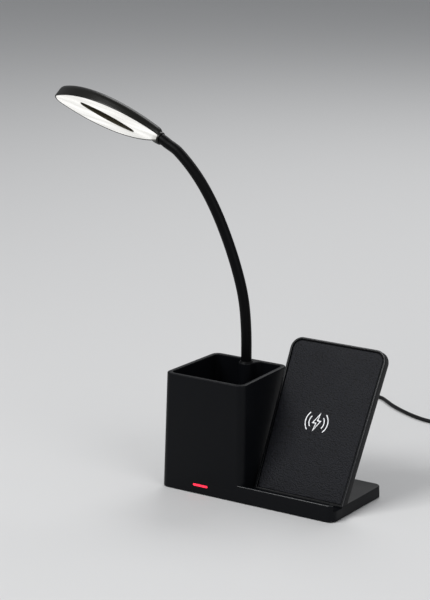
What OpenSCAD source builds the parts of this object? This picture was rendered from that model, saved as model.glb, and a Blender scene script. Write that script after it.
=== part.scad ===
// Gooseneck LED desk lamp with a pen cup and a leaning phone charging stand.
// Millimetres. X runs right along the base, Y to the back, Z up; the origin is the
// centre of the base's footprint on the table.

/* [Base] */
// Width of the base along its front edge
base_w = 165; // [150:1:220]
// Depth of the base, front to back
base_d = 79; // [74:1:110]
// Height of the flat deck above the table
base_h = 10; // [9.5:0.5:14]
// Radius of the upright corners
corner_r = 6.5; // [4:0.5:9]
// Wall thickness of the moulded housing
wall = 2.2; // [1.8:0.1:2.6]
// Height of the front lip that stops a phone
lip_h = 14.3; // [12:0.1:20]
// Thickness of the front lip
lip_t = 3; // [2.4:0.1:4.5]
// Depth of the phone ledge below the deck
ledge_drop = 1; // [0.5:0.5:3.5]
// Height of the housing's lower edge above the table
skirt_gap = 0.8; // [0.5:0.1:1.2]
// Thickness of the bottom cover
cover_t = 2.2; // [1.8:0.1:2.6]
// Thickness of the soft pad under the base
pad_t = 1.2; // [1:0.1:1.6]

/* [Pen cup] */
// Width of the cup at the table
cup_w = 80; // [76:1:84]
// Height of the cup's rim
cup_h = 97.5; // [80:0.5:120]
// Width of the cup's rim along its front
cup_front_w = 76; // [73:0.5:78]
// Width of the cup's rim along its back
cup_back_w = 72; // [70:0.5:78]
// How far the front and back faces lean in by the rim
cup_lean = 3.1; // [1:0.1:4]
// Thickness of the rim
rim_t = 3.8; // [3:0.1:4.5]
// Height of the cup's floor
cup_floor = 16; // [15:0.5:22]

/* [Phone stand] */
// Lean of the stand from upright
stand_tilt = 29.5; // [20:0.5:35]
// Length of the stand's face along its slope
stand_l = 130; // [110:1:150]
// Width of the stand at the deck
stand_low_w = 83; // [76:0.5:86]
// Width of the stand at its top
stand_top_w = 89.3; // [80:0.1:92]
// Thickness of the stand
stand_t = 8; // [7:0.5:10]
// Distance from the base's front edge to the stand's face
ledge_run = 14.3; // [12:0.1:18]
// Gap between the cup and the stand's lower edge
stand_gap = 2; // [1:0.5:3]
// Width of the frame around the textured face
frame_w = 2.4; // [1.8:0.1:3.5]
// Depth of the textured face below the frame
face_sink = 0.7; // [0.4:0.1:1.2]
// Radius of the stand's top corners
stand_r = 10; // [7:0.5:14]

/* [Gooseneck] */
// Diameter of the gooseneck's sleeve
neck_d = 8.8; // [8:0.1:10]
// Height of the fixed root above the rim
root_h = 14; // [11:0.5:20]
// Length of each flexing stretch
link_l = 27; // [24:0.5:30]
// Distance from the cup's back face at the table to the neck's centre
neck_inset = 14; // [13.5:0.1:15]
// Clearance between the stretches of the neck
neck_play = 0.3; // [0.25:0.05:0.4]
// Length of the elbow that carries the head
elbow_l = 8; // [7:0.5:14]
// Turn of the elbow
elbow_bend = 20.5; // [10:0.5:30]

/* [Lamp head] */
// Length of the lamp head
head_l = 110.4; // [96:0.2:130]
// Width of the lamp head
head_w = 44.4; // [38:0.2:50]
// Thickness of the lamp head
head_t = 11; // [10:0.5:14]
// Slope of the head's back, which is lower at the neck
head_taper = 3.2; // [0:0.1:4]
// Roll of the lit face towards the front
head_roll = 45; // [0:1:60]
// Length of the slot through the head
slot_l = 51; // [40:1:56]
// Width of the slot through the head
slot_w = 9.6; // [8:0.2:14]
// Turn of the slot in the lit face
slot_turn = 17; // [0:1:24]
// Width of the dark rim around the lit face
head_rim = 1.3; // [1:0.1:2]
// Wall thickness of the head's shell
head_wall = 1.5; // [1.2:0.1:1.8]
// Lamps on each side of the slot
led_count = 11; // [6:1:12]

/* [Power lead] */
// Diameter of the lead
cord_d = 3.4; // [3:0.1:3.8]
// Height of the power socket above the table
socket_z = 7; // [6.6:0.1:7.4]

/* [Hidden] */

black = [0.085, 0.09, 0.1];
dark = [0.12, 0.125, 0.14];
slate = [0.2, 0.21, 0.24];
steel = [0.72, 0.73, 0.75];
board_green = [0.1, 0.32, 0.2];
copper = [0.72, 0.43, 0.2];
lamp_white = [0.97, 0.95, 0.88];
signal_red = [0.9, 0.1, 0.22];

seam = 0.1;          // gap between fixed pieces that meet
over = 1;            // how far a cut runs past the face that it opens
thin = 0.02;         // thickness of the slices that a hull joins
blend_fn = 32;       // facets of the discs inside a hull

x_left = -base_w / 2;
x_right = base_w / 2;
y_front = -base_d / 2;
y_back = base_d / 2;
cup_right = x_left + cup_w;
cup_x = x_left + cup_w / 2;
deck_under = base_h - wall;
ledge_z = base_h - ledge_drop;
cover_top = skirt_gap + cover_t;
cover_inset = wall + seam;

// ---- plan shapes and drafted blocks ----

module rounded_plan(x0, x1, y0, y1, r) {
    translate([x0 + r, y0]) square([x1 - x0 - 2 * r, y1 - y0]);
    translate([x0, y0 + r]) square([x1 - x0, y1 - y0 - 2 * r]);
    for (x = [x0 + r, x1 - r], y = [y0 + r, y1 - r])
        translate([x, y]) circle(r, $fn = 48);
}

module rounded_block(x0, x1, y0, y1, z0, z1, r) {
    translate([0, 0, z0]) linear_extrude(z1 - z0) rounded_plan(x0, x1, y0, y1, r);
}

// Four upright discs at the corners of a plan that is wider in front than behind.
module corner_discs(cx, front_w, back_w, y0, y1, z, r) {
    for (side = [-1, 1]) {
        translate([cx + side * (front_w / 2 - r), y0 + r, z]) cylinder(thin, r, r, $fn = blend_fn);
        translate([cx + side * (back_w / 2 - r), y1 - r, z]) cylinder(thin, r, r, $fn = blend_fn);
    }
}

// ---- base housing with cup, lip and neck column ----

base_lean = cup_lean * (lip_h - skirt_gap) / (cup_h - skirt_gap);
side_lean = (cup_w - cup_front_w) / 2 * (lip_h - skirt_gap) / (cup_h - skirt_gap);
inner_r = corner_r - rim_t / 2;
neck_x = cup_x + 1.7;
neck_y = y_back - neck_inset;
column_r = neck_d / 2 + 1.9;
column_flare = 14;
socket_x = cup_x;
bore_play = 0.1;
bore_depth = 24;
wire_r = 2.6;
lens_w = 14.7;
lens_h = 2.3;
lens_z = 7.5;
lens_x = cup_x - 1;
socket_w = 9;
socket_h = 3.2;
plug_pocket = 0.6;

module base_block() {
    hull() {
        corner_discs(0, base_w, base_w, y_front, y_back, skirt_gap, corner_r);
        corner_discs(0, base_w - 2 * side_lean, base_w - 2 * side_lean,
                     y_front + base_lean, y_back - base_lean, lip_h - thin, corner_r);
    }
}

module cup_block() {
    hull() {
        corner_discs(cup_x, cup_w, cup_w, y_front, y_back, skirt_gap, corner_r);
        corner_discs(cup_x, cup_front_w, cup_back_w, y_front + cup_lean, y_back - cup_lean,
                     cup_h - thin, corner_r);
    }
}

module cup_hollow() {
    low_in = rim_t + 0.4;
    rise = cup_h - cup_floor;
    hull() {
        corner_discs(cup_x, cup_w - 2 * low_in, cup_w - 2 * low_in,
                     y_front + low_in, y_back - low_in, cup_floor, inner_r);
        corner_discs(cup_x, cup_front_w - 2 * rim_t, cup_back_w - 2 * rim_t,
                     y_front + cup_lean + rim_t, y_back - cup_lean - rim_t,
                     cup_floor + rise + over, inner_r);
    }
}

// The column behind the cup that carries the neck: round in front, flared to the wall.
module column_plan() {
    wall_y = y_back - cup_lean - rim_t / 2;
    sweep_r = wall_y - neck_y;
    difference() {
        union() {
            translate([neck_x, neck_y]) circle(column_r, $fn = 64);
            translate([neck_x - column_flare, neck_y]) square([2 * column_flare, sweep_r]);
        }
        for (side = [-1, 1])
            translate([neck_x + side * (column_r + sweep_r), neck_y - thin])
                scale([1, 1]) circle(sweep_r, $fn = 64);
    }
}

module neck_bore() {
    translate([neck_x, neck_y, cup_h - bore_depth])
        cylinder(bore_depth + over, r = neck_d / 2 + bore_play, $fn = 64);
    translate([neck_x, neck_y, cup_floor - wall - over])
        cylinder(cup_h - bore_depth - cup_floor + wall + 2 * over, r = wire_r, $fn = 48);
}

// Hollow under the deck, the ledge and the cup's floor, open at the bottom.
module housing_hollow() {
    in = wall;
    rounded_block(x_left + in, x_right - in, y_front + in, y_back - in,
                  skirt_gap - over, ledge_z - wall, corner_r - in);
    rounded_block(cup_right - rim_t, x_right - in, y_front + ledge_run, y_back - in,
                  skirt_gap, deck_under, corner_r - in);
    rounded_block(x_left + in + 0.6, cup_right - rim_t - 0.6, y_front + in + 0.6, y_back - in - 0.6,
                  skirt_gap, cup_floor - wall, corner_r - in);
}

post_r = 3.2;
post_hole_r = 1.1;
post_in = 9;
screw_spots = [
    [x_left + post_in, y_front + post_in], [x_left + post_in, y_back - post_in],
    [x_right - post_in, y_front + ledge_run + 5], [x_right - post_in, y_back - post_in]
];

function roof_at(x) = x < cup_x ? cup_floor - wall : deck_under;
module screw_posts() {
    for (s = screw_spots)
        translate([s[0], s[1], cover_top + seam]) cylinder(roof_at(s[0]) - cover_top, r = post_r, $fn = 32);
}

stand_screw_in = 15.5;
stand_screw_y = ledge_run + 8;

module housing() {
    color(black) difference() {
        union() {
            difference() {
                union() {
                    difference() {
                        base_block();
                        translate([cup_right - 2 * corner_r, y_front + lip_t, base_h]) cube([base_w, base_d, lip_h]);
                    }
                    cup_block();
                }
                cup_hollow();
                translate([cup_right + thin, y_front + lip_t, ledge_z])
                    cube([base_w, ledge_run - lip_t, lip_h]);
                housing_hollow();
            }
            translate([0, 0, cup_floor - wall]) linear_extrude(cup_h - cup_floor + wall) column_plan();
            screw_posts();
        }
        neck_bore();
        for (s = screw_spots)
            translate([s[0], s[1], 0]) cylinder(deck_under - 0.6, r = post_hole_r, $fn = 24);
        indicator_slot(0);
        translate([socket_x - socket_w / 2 - seam, y_back - wall * 2, socket_z - socket_h / 2 - seam])
            cube([socket_w + 2 * seam, wall * 3, socket_h + 2 * seam]);
        for (side = [-1, 1])
            translate([stand_screw_x(side), y_front + stand_screw_y, deck_under - 1])
                cylinder(base_h, r = 1.7, $fn = 24);
    }
}

// A slot with round ends, run through the front wall.
module indicator_slot(gap) {
    translate([lens_x, y_front + wall + 1, lens_z]) rotate([90, 0, 0])
        linear_extrude(wall + 1 + over) slot_plan(lens_w - 2 * gap, lens_h - 2 * gap);
}

module slot_plan(length, height) {
    square([length - height, height], center = true);
    for (side = [-1, 1]) translate([side * (length - height) / 2, 0]) circle(height / 2, $fn = 32);
}

module indicator_lens() {
    light_in = 1.4;
    color(signal_red) intersection() {
        union() {
            indicator_slot(seam);
            translate([lens_x - lens_w / 2 + 1, y_front + wall + 0.7, lens_z - 0.8])
                cube([lens_w - 2, light_in + 1, 1.6]);
        }
        translate([lens_x - lens_w, y_front + base_lean * lens_z / base_h, 0])
            cube([2 * lens_w, base_d, cup_h]);
    }
}

module bottom_cover() {
    color(dark) difference() {
        rounded_block(x_left + cover_inset, x_right - cover_inset, y_front + cover_inset,
                      y_back - cover_inset, skirt_gap, cover_top, corner_r - cover_inset);
        translate([0, 0, -over]) rounded_block(x_left + pad_in, x_right - pad_in, y_front + pad_in,
                      y_back - pad_in, 0, pad_t + over, pad_r);
        for (s = screw_spots) {
            translate([s[0], s[1], 0]) cylinder(cover_top + over, r = 1.5, $fn = 24);
            translate([s[0], s[1], 0]) cylinder(pad_t + screw_head_h + 0.2, r = screw_head_r + 0.3, $fn = 32);
        }
    }
}

pad_in = 5;
pad_r = 5;
screw_head_r = 2.2;
screw_head_h = 1;

module base_pad() {
    color(slate) rounded_block(x_left + pad_in + seam, x_right - pad_in - seam, y_front + pad_in + seam,
                               y_back - pad_in - seam, 0, pad_t, pad_r);
}

module small_screw(length) {
    difference() {
        union() {
            cylinder(screw_head_h, r = screw_head_r, $fn = 32);
            cylinder(length, r = post_hole_r - 0.05, $fn = 24);
        }
        for (a = [0, 90]) rotate([0, 0, a]) translate([-1.2, -0.25, -over]) cube([2.4, 0.5, over + 0.5]);
    }
}

module cover_screws() {
    color(steel) for (s = screw_spots) translate([s[0], s[1], pad_t + 0.1]) small_screw(5);
}

ballast_t = 4;
ballast_w = 52;
ballast_d = 50;

module ballast_plate() {
    color(steel) difference() {
        rounded_block(cup_x - ballast_w / 2, cup_x + ballast_w / 2, -ballast_d / 2, ballast_d / 2,
                      cover_top + seam, cover_top + seam + ballast_t, 4);
        for (x = [-18, 18], y = [-17, 17]) translate([cup_x + x, y, 0]) cylinder(cup_floor, r = 1.6, $fn = 24);
    }
}

board_t = 1.2;
board_z = 10.2;
board_w = 58;
board_d = 54;

module control_board() {
    stand_off = board_z - cover_top - seam - ballast_t - seam;
    color(board_green) difference() {
        union() {
            rounded_block(cup_x - board_w / 2, cup_x + board_w / 2, -board_d / 2, board_d / 2,
                          board_z, board_z + board_t, 2);
            for (x = [-18, 18], y = [-17, 17])
                translate([cup_x + x, y, board_z - stand_off]) cylinder(stand_off, r = 2.6, $fn = 32);
            translate([cup_x - 12, -8, board_z + board_t]) cube([14, 14, 1.4]);
            translate([cup_x + 10, -16, board_z + board_t]) cube([9, 6, 1.8]);
            for (i = [0:3]) translate([cup_x - 22, -18 + i * 9, board_z + board_t]) cube([5, 3, 1.2]);
        }
        translate([neck_x, neck_y, 0]) cylinder(cup_floor, r = wire_r + 2, $fn = 32);
    }
}

module indicator_led() {
    lens_back = y_front + wall + 0.7 + 2.4;
    color(lamp_white) translate([lens_x - 2, lens_back + 0.2, lens_z - 1]) cube([4, 8.6, board_z - lens_z + 1 - seam]);
}

module power_socket() {
    depth = 7.5;
    tongue = 0.8;
    color(steel) difference() {
        translate([socket_x - socket_w / 2, y_back - depth - 0.3, socket_z - socket_h / 2])
            cube([socket_w, depth, socket_h]);
        translate([socket_x - socket_w / 2 + 0.35, y_back - depth + 1, socket_z - socket_h / 2 + 0.35])
            cube([socket_w - 0.7, depth, socket_h - 0.7]);
    }
    color(dark) translate([socket_x - 3.2, y_back - depth, socket_z - tongue / 2]) cube([6.4, depth - 2, tongue]);
    board_y = y_back - depth - 4.6;
    under = socket_z - socket_h / 2 - board_t;
    color(board_green) translate([socket_x - 7, board_y, under]) cube([14, y_back - wall - 1 - board_y, board_t]);
    for (side = [-1, 1]) color(dark) translate([socket_x + side * 5 - 1, board_y + 1, cover_top + seam])
        cube([2, 7, under - cover_top - seam]);
}

// ---- phone stand ----

stand_x = cup_right + stand_gap + stand_low_w / 2;
function stand_screw_x(side) = side < 0
    ? stand_x - stand_low_w / 2 + stand_screw_in
    : min(stand_x + stand_low_w / 2, x_right) - stand_screw_in;
stand_y = y_front + ledge_run;
stand_foot = 14;
shell_wall = 1.6;
frame_t = 1.4;
face_t = 1.4;
pocket_in = 5;
face_low = 1.6;

// Moves children into the stand's own frame: X across, Z up the slope, -Y out of its face.
module in_stand() {
    translate([stand_x, stand_y, base_h]) rotate([-stand_tilt, 0, 0]) children();
}

// The stand's outline, wider at the top, drawn in from its edge by inset.
function stand_half(s) = (stand_low_w + (stand_top_w - stand_low_w) * s / stand_l) / 2;
module stand_plan(inset, low) {
    r = stand_r - inset;
    top = stand_l - inset;
    hw_top = stand_half(stand_l) - inset;
    hw_low = stand_half(low) - inset;
    lean = atan2(hw_top - hw_low, top - low);
    corner_x = hw_top - r * tan(lean) - r / cos(lean);
    touch = [corner_x + r * cos(lean), top - r - r * sin(lean)];
    for (side = [-1, 1]) translate([side * corner_x, top - r]) circle(r, $fn = 64);
    polygon([[-hw_low, low], [hw_low, low], touch, [corner_x, top], [-corner_x, top], [-touch[0], touch[1]]]);
}

module stand_slab(inset, low, y0, y1) {
    in_stand() translate([0, y1, 0]) rotate([90, 0, 0]) linear_extrude(y1 - y0) stand_plan(inset, low);
}

module above_deck(z) {
    translate([x_left - 50, y_front - 50, z]) cube([base_w + 100, base_d + 200, 400]);
}

module stand_shell() {
    color(black) difference() {
        union() {
            intersection() {
                stand_slab(0, -stand_foot, frame_t, stand_t);
                above_deck(base_h);
            }
            stand_fairing();
            stand_posts();
        }
        stand_slab(frame_w, face_low, -over, frame_t + face_t + 0.1);
        stand_slab(pocket_in, 10, -over, stand_t - shell_wall);
        for (side = [-1, 1])
            translate([stand_screw_x(side), y_front + stand_screw_y, 0])
                cylinder(base_h + 7, r = post_hole_r, $fn = 24);
    }
}

// Root of the stand: a fairing with a hollow curve behind, that spreads onto the deck.
module stand_fairing() {
    run = 9;
    back_y = stand_y + stand_t / cos(stand_tilt);
    half = stand_low_w / 2 - 7;
    translate([stand_x + half, 0, base_h]) rotate([0, -90, 0]) linear_extrude(2 * half) difference() {
        polygon([[0, back_y - 3], [0, back_y + run], [run, back_y + run], [run, back_y - 3 + run * tan(stand_tilt)]]);
        translate([run, back_y + run]) circle(run * cos(stand_tilt) * 1.02, $fn = 64);
    }
}

module stand_posts() {
    intersection() {
        for (side = [-1, 1])
            translate([stand_screw_x(side), y_front + stand_screw_y, base_h])
                cylinder(9, r = 3, $fn = 32);
        stand_slab(2, -stand_foot, frame_t + face_t + 0.2, stand_t);
    }
}

module stand_frame() {
    color(black) intersection() {
        difference() {
            union() {
                stand_slab(0, -stand_foot, 0.5, frame_t - 0.02);
                stand_slab(0.5, -stand_foot, 0, 0.5);
            }
            stand_slab(frame_w, face_low, -over, stand_t);
        }
        above_deck(base_h + 0.02);
    }
}

module stand_face() {
    color(slate) stand_slab(frame_w + 0.15, face_low + 0.15, face_sink, frame_t + face_t);
}

charge_s = 64;
coil_or = 21.5;
coil_ir = 10;
coil_plate_w = 66;
coil_plate_h = 70;

module at_charger(y) {
    in_stand() translate([0, y, charge_s]) rotate([-90, 0, 0]) children();
}

module charging_coil() {
    color(copper) at_charger(frame_t + face_t + 0.2) difference() {
        cylinder(0.9, r = coil_or, $fn = 96);
        translate([0, 0, -over]) cylinder(3, r = coil_ir, $fn = 64);
    }
}

module ferrite_sheet() {
    color(dark) at_charger(frame_t + face_t + 1.15) cylinder(0.6, r = 24, $fn = 96);
}

module charger_board() {
    depth = frame_t + face_t + 1.8;
    color(board_green) {
        stand_slab_at(depth, 0.8, coil_plate_w, coil_plate_h, charge_s);
        in_stand() translate([-14, depth + 0.8, charge_s - 30]) cube([9, 0.7, 9]);
        in_stand() translate([6, depth + 0.8, charge_s - 28]) cube([6, 0.7, 6]);
    }
}

module stand_slab_at(y0, t, w, h, s) {
    in_stand() translate([-w / 2, y0, s - h / 2]) cube([w, t, h]);
}

module stand_screws() {
    color(steel) for (side = [-1, 1])
        translate([stand_screw_x(side), y_front + stand_screw_y, deck_under - screw_head_h - 0.1])
            small_screw(7);
}

// ---- gooseneck: a fixed root and seven curved stretches, each seated on the last ----

link_bends = [5.5, 11, 5.5, 5, 8, 11, 11.5];
link_count = len(link_bends);
ball_r = neck_d / 2 - 0.05;
seat_r = neck_d / 2 + neck_play;
rad = 180 / PI;

function sum_to(v, n) = n <= 0 ? 0 : v[n - 1] + sum_to(v, n - 1);
function lean_at(i) = sum_to(link_bends, i);
// Step along an arc of a given length that starts at one lean and turns by bend.
function arc_step(lean, bend, length) =
    let (r = length * rad / bend)
    [r * (cos(lean + bend) - cos(lean)), 0, r * (sin(lean + bend) - sin(lean))];
function joint_at(i) = i == 0
    ? [neck_x, neck_y, cup_h + root_h]
    : joint_at(i - 1) + arc_step(lean_at(i - 1), link_bends[i - 1], link_l);

module at_joint(i) {
    translate(joint_at(i)) rotate([0, -lean_at(i), 0]) children();
}

module curved_tube(length, bend, r) {
    sweep_r = length * rad / bend;
    translate([-sweep_r, 0, 0]) rotate([90, 0, 0])
        rotate_extrude(angle = bend, $fn = 360) translate([sweep_r, 0]) circle(r, $fn = 48);
}

module ball_end(length, bend) {
    sweep_r = length * rad / bend;
    translate([sweep_r * (cos(bend) - 1), 0, sweep_r * sin(bend)]) sphere(ball_r, $fn = 48);
}

module neck_link(i) {
    bend = link_bends[i];
    color(black) at_joint(i) difference() {
        union() {
            curved_tube(link_l, bend, neck_d / 2);
            ball_end(link_l, bend);
        }
        sphere(seat_r, $fn = 48);
    }
}

module neck_root() {
    color(black) translate([neck_x, neck_y, 0]) {
        translate([0, 0, cup_h - bore_depth + seam]) cylinder(bore_depth + root_h - seam, r = neck_d / 2, $fn = 64);
        translate([0, 0, cup_h + root_h]) sphere(ball_r, $fn = 48);
    }
}

module neck_nut() {
    collar_r = column_r - 0.4;
    color(black) translate([neck_x, neck_y, cup_h]) difference() {
        cylinder(1.2, r1 = collar_r, r2 = collar_r - 0.9, $fn = 64);
        translate([0, 0, -over]) cylinder(4, r = neck_d / 2 + 0.05, $fn = 64);
    }
}

module neck_link_1() { neck_link(0); }
module neck_link_2() { neck_link(1); }
module neck_link_3() { neck_link(2); }
module neck_link_4() { neck_link(3); }
module neck_link_5() { neck_link(4); }
module neck_link_6() { neck_link(5); }
module neck_link_7() { neck_link(6); }

// ---- lamp head ----

elbow_r = neck_d / 2 + 0.1;
stub_r = elbow_r - 0.2;
stub_l = 7;
stem_r = elbow_r + 0.9;
head_lean = lean_at(link_count) + elbow_bend;
head_start = joint_at(link_count) + arc_step(lean_at(link_count), elbow_bend, elbow_l);
lit_l = head_l - 2 * head_rim;
lit_w = head_w - 2 * head_rim;
slot_lip = 0.9;
diffuser_t = 1.5;
led_board_t = 1;
side_h = 0.5 * head_t - head_wall;
stem_rise = 1.2;
head_skirt = head_l / 2 * tan(head_taper) + 1;
led_board_z = side_h - led_board_t - 0.05;
led_h = 0.7;
lamp_margin = 8;
led_screw_x = 35;
stem_x = -lit_l / 2;

// The head's own frame: X from the neck to the tip, origin at the middle of the lit face, Z out of its back.
module in_head() {
    translate(head_start) rotate([head_roll, head_lean - 90, 180]) translate([lit_l / 2, 0, -stem_rise]) children();
}

// The head's back slopes, so that it is lower at the neck.
module on_back() { rotate([0, -head_taper, 0]) children(); }
function back_at(x) = x * tan(head_taper);

// A leaf: two arcs that meet in round tips. a and b are the half length and half width, t the tip's radius.
function leaf_arc(a, b, t) = ((a - t) * (a - t) + b * b - t * t) / (2 * (b - t));
module leaf(a, b, t) {
    r = leaf_arc(a, b, t);
    reach = (a - t) + t * (a - t) / (r - t);
    intersection() {
        translate([0, b - r]) circle(r, $fn = 240);
        translate([0, r - b]) circle(r, $fn = 240);
        square([2 * reach, 2 * b + 2], center = true);
    }
    for (side = [-1, 1]) translate([side * (a - t), 0]) circle(t - 0.01, $fn = 48);
}

head_tip_r = 7;
slot_tip_r = 2;
socket_run = 12;
module head_leaf(inset) { leaf(head_l / 2 - inset, head_w / 2 - inset, head_tip_r - inset * 0.8); }
module slot_leaf(out) { rotate(slot_turn) leaf(slot_l / 2 + out, slot_w / 2 + out, slot_tip_r + out); }

// Profile of the head's edge about an upright axis: upright, and round on top.
module edge_profile(r, in) {
    translate([0, in - head_skirt]) square([r - in, head_skirt - in + head_t - crown_r]);
    translate([0, in - head_skirt]) square([r - crown_r, head_skirt + head_t - 2 * in]);
    intersection() {
        translate([r - crown_r, head_t - crown_r]) circle(crown_r - in, $fn = 96);
        square([r, head_t]);
    }
}

// The outer form: the same edge run along both arcs of the leaf and round its tips.
crown_r = 6.4;
roof_in = 5.2;
module head_form() {
    a = head_l / 2;
    b = head_w / 2;
    t = head_tip_r;
    r = leaf_arc(a, b, t);
    tip_turn = acos((a - t) / (r - t));
    far_x = a - t + (t + 1) * cos(tip_turn);
    far_y = (t + 1) * sin(tip_turn);
    for (flip = [0, 1]) mirror([0, flip, 0]) intersection() {
        translate([0, b - r, 0]) rotate_extrude($fn = 240) edge_profile(r, 0);
        translate([0, 0, -head_skirt - over]) linear_extrude(head_skirt + head_t + 2 * over)
            polygon([[t - a, 0], [a - t, 0], [far_x, far_y], [far_x, b + 1], [-far_x, b + 1], [-far_x, far_y]]);
    }
    // the tips are a hair smaller and reach into the arcs, so that they join
    for (turn = [0, 180]) rotate([0, 0, turn]) translate([a - t, 0, 0]) rotate([0, 0, -tip_turn - 3])
        rotate_extrude(angle = 2 * tip_turn + 6, $fn = 96) edge_profile(t, 0.015);
}

// Ring round the end of the neck, with a half round behind the lit face that dies into the leaf.
module stem_socket() {
    translate([stem_x - 2.1, 0, stem_rise]) rotate([0, 90, 0]) cylinder(1.8, r = stem_r, $fn = 64);
    intersection() {
        translate([stem_x - 0.6, 0, stem_rise]) rotate([0, 90, 0]) cylinder(socket_run, r1 = stem_r - 0.15, r2 = stem_r - 1.5, $fn = 64);
        translate([-head_l, -head_w, 0]) cube([head_l, 2 * head_w, head_t]);
    }
}

module head_shell() {
    color(black) in_head() difference() {
        union() {
            difference() {
                union() {
                    difference() {
                        on_back() head_form();
                        translate([-head_l, -head_w, -3 * head_skirt]) cube([2 * head_l, 2 * head_w, 3 * head_skirt]);
                    }
                    stem_socket();
                }
                translate([0, 0, -over]) linear_extrude(side_h + over) head_leaf(head_wall);
                on_back() translate([0, 0, 0.5]) linear_extrude(head_t - 0.5 - 2 * head_wall) head_leaf(roof_in);
            }
            for (x = [-led_screw_x, led_screw_x]) translate([x, 0, side_h])
                cylinder(head_t - 1.5 * head_wall - side_h + back_at(x), r = 2.6, $fn = 32);
        }
        translate([0, 0, -over]) linear_extrude(2 * head_t) slot_leaf(slot_lip + seam);
        translate([stem_x - 4, 0, stem_rise]) rotate([0, 90, 0])
            cylinder(4 + stub_l + seam, r = elbow_r + seam, $fn = 64);
        for (x = [-led_screw_x, led_screw_x]) translate([x, 0, side_h - 1]) cylinder(4.5, r = 1, $fn = 24);
    }
}

module slot_liner() {
    color(dark) in_head() difference() {
        translate([0, 0, 0.2]) linear_extrude(head_t + slot_l * tan(head_taper)) slot_leaf(slot_lip);
        translate([0, 0, -over]) linear_extrude(2 * head_t) slot_leaf(0);
        on_back() translate([-head_l, -head_w, head_t]) cube([2 * head_l, 2 * head_w, head_t]);
    }
}

// A thin dark ring that holds the diffuser's outer edge.
module head_rim_ring() {
    color(black) in_head() difference() {
        translate([0, 0, 0.3]) linear_extrude(diffuser_t - 0.3) head_leaf(head_wall + seam);
        translate([0, 0, -over]) linear_extrude(4) head_leaf(head_wall + 1);
    }
}

module diffuser() {
    color(lamp_white) in_head() linear_extrude(diffuser_t) difference() {
        head_leaf(head_wall + 1.1);
        slot_leaf(slot_lip + seam);
    }
}

module led_board() {
    color([0.92, 0.92, 0.9]) in_head() difference() {
        translate([0, 0, led_board_z]) linear_extrude(led_board_t) difference() {
            head_leaf(head_wall + 0.3);
            slot_leaf(slot_lip + 0.4);
            for (x = [-led_screw_x, led_screw_x]) translate([x, 0]) circle(1.1, $fn = 24);
        }
        translate([-head_l, -head_w, 0]) cube([head_l + stem_x + stub_l + 1, 2 * head_w, head_t]);
    }
}

// Lamps in one row along each side of the slot.
module led_chips() {
    mid = (slot_w + lit_w) / 4 - 0.6;
    a = head_l / 2 - lamp_margin;
    color([0.95, 0.85, 0.45]) in_head() for (side = [-1, 1], i = [0:led_count - 1]) {
        x = (i - (led_count - 1) / 2) * (2 * a * 0.8 / (led_count - 1));
        slot_y = abs(x) < slot_l / 2 + 2 ? x * tan(slot_turn) : 0;
        y = side * mid * (1 - pow(x / (a * 1.06), 2)) + slot_y / 2;
        translate([x - 1.4, y - 1.1, led_board_z - led_h - 0.02]) cube([2.8, 2.2, led_h]);
    }
}

module head_screws() {
    color(steel) in_head() for (x = [-led_screw_x, led_screw_x]) translate([x, 0, 0]) {
        translate([0, 0, led_board_z - 0.85]) cylinder(0.8, r = 1.7, $fn = 32);
        translate([0, 0, led_board_z - 0.1]) cylinder(4, r = 0.95, $fn = 24);
    }
}

// Turns from the last stretch into the head; beyond the stem only its back half goes on.
module head_elbow() {
    color(black) {
        difference() {
            translate(joint_at(link_count)) rotate([0, -lean_at(link_count), 0])
                curved_tube(elbow_l, elbow_bend, elbow_r);
            translate(joint_at(link_count)) sphere(seat_r, $fn = 48);
        }
        in_head() intersection() {
            translate([stem_x - 0.6, 0, stem_rise]) rotate([0, 90, 0]) cylinder(stub_l + 0.6, r = stub_r, $fn = 64);
            translate([-head_l, -head_w, diffuser_t + 0.15]) cube([head_l, 2 * head_w, head_t]);
        }
    }
}

// ---- power lead: socket to plug, along the table behind the lamp ----

plug_l = 16;
plug_w = 11;
plug_h = 6.4;
relief_l = 10;
cord_z = cord_d / 2;
cord_exit = [socket_x, y_back + plug_pocket + plug_l + relief_l, socket_z];
coil_centre = [52, 257];
coil_out = 26;
coil_in = 12;
coil_layer = cord_d + 0.5;
coil_turns_in = 3.5;
coil_turns_out = 3;
loop_rings = 24;
coil_sides = 6;
tail_run = 20;
usb_axis_z = 4;

// Route of the lead on the table from the socket's plug to the coil.
lead_route = [
    cord_exit, cord_exit + [0, 4, -0.2], [-42.8, 75, 5.2], [-43.2, 85, 3], [-44, 95, 1.9],
    [-46, 110, cord_z], [-51, 135, cord_z], [-58, 160, cord_z], [-66, 186, cord_z], [-74, 212, cord_z],
    [-79, 230, cord_z], [-81, 243, cord_z], [-79, 256, cord_z], [-72, 266, cord_z], [-61, 271, cord_z],
    [-49, 269.5, cord_z], [-39.5, 263, cord_z], [-30, 255.5, cord_z], [-17.5, 247.5, cord_z],
    [-5, 240.8, cord_z], [6, 236, cord_z], [16, 232.8, cord_z], [28, 231.2, cord_z],
    [40, 231, cord_z], [48.6, 231, cord_z], [52, 231, cord_z]
];

function unit(v) = v / norm(v);
function lerp(a, b, t) = a + (b - a) * t;

// Smooth points between the route's own points.
function mid_point(p, i, t) =
    let (a = p[max(i - 1, 0)], b = p[i], c = p[i + 1], d = p[min(i + 2, len(p) - 1)])
    0.5 * ((2 * b) + (c - a) * t + (2 * a - 5 * b + 4 * c - d) * t * t + (3 * b - a - 3 * c + d) * t * t * t);
function smooth_route(p, n) = [
    for (i = [0:len(p) - 2], k = [0:n - 1]) mid_point(p, i, k / n),
    p[len(p) - 1]
];

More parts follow.
